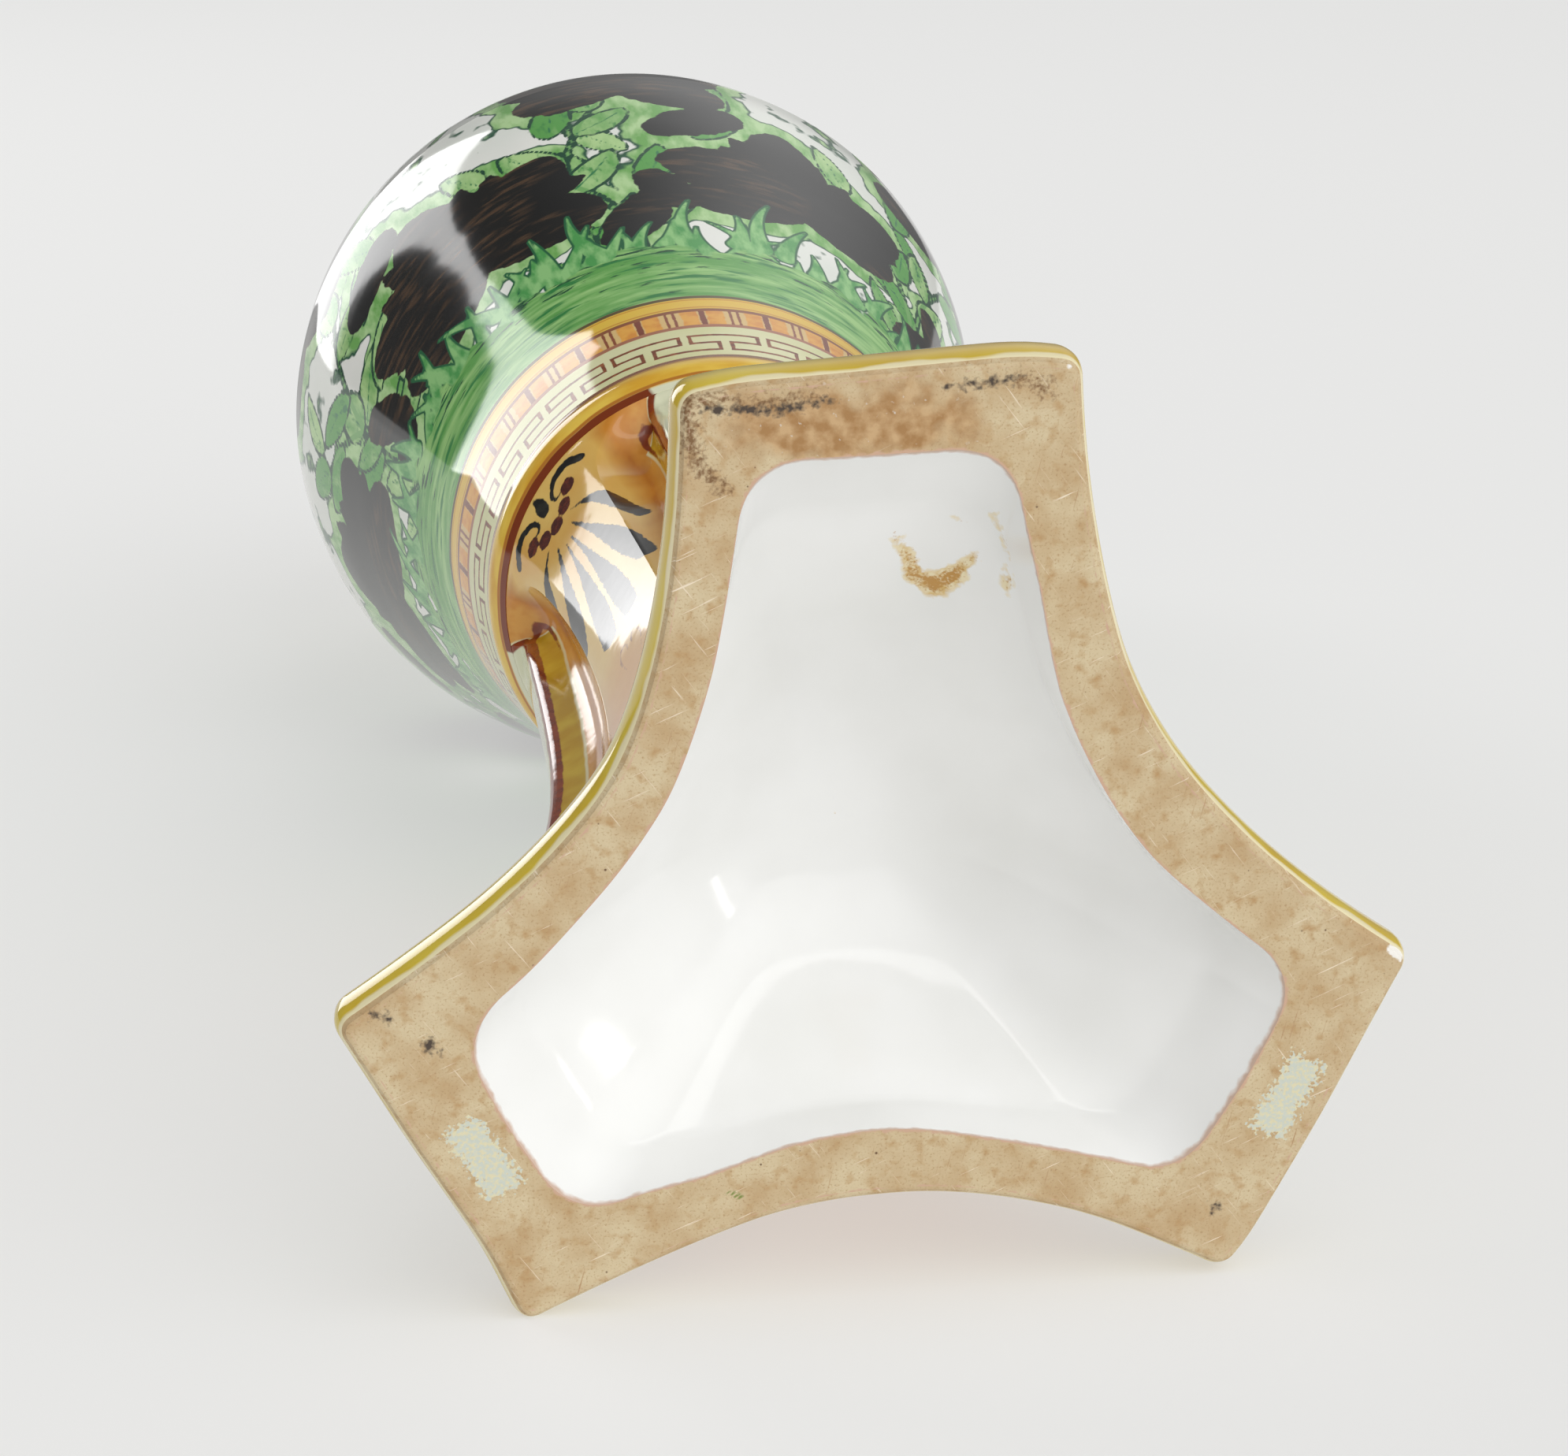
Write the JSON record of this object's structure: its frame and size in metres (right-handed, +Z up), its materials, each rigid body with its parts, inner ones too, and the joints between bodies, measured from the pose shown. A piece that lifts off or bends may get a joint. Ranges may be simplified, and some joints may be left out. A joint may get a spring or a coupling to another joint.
{
  "type": "amphora vase",
  "caption": "Ovoid amphora vase with an everted mouth, strap handles and a ribbed, flaring stem on a hollow armed foot, for flowers or display.",
  "frame": {"origin": "on the vase's axis, at the level of the foot face that it stands on", "axes": "+Z up along the vase's axis, +Y towards the rear leg, the handles at +X and -X"},
  "size_m": [0.152, 0.1449, 0.4393],
  "materials": {
    "plinth_glaze": "glossy yellow ochre tin glaze, with a bare clay rim underneath",
    "panel_glaze": "glossy ochre tin glaze",
    "leg_glaze": "glossy pale olive tin glaze with yellow edges",
    "collar_glaze": "glossy yellow tin glaze",
    "body_glaze": "glossy off-white tin glaze with brushed green foliage",
    "neck_glaze": "glossy off-white tin glaze",
    "handle_glaze": "glossy green and yellow tin glaze"
  },
  "bodies": {
    "root": {"plinth": "plinth_glaze", "stem_core": "panel_glaze", "leg_rear": "leg_glaze", "leg_left": "leg_glaze", "leg_right": "leg_glaze", "stem_collar": "collar_glaze", "body_lower": "body_glaze", "body_upper": "body_glaze", "neck": "neck_glaze", "handle_right": "handle_glaze", "handle_left": "handle_glaze"}
  },
  "joints": []
}
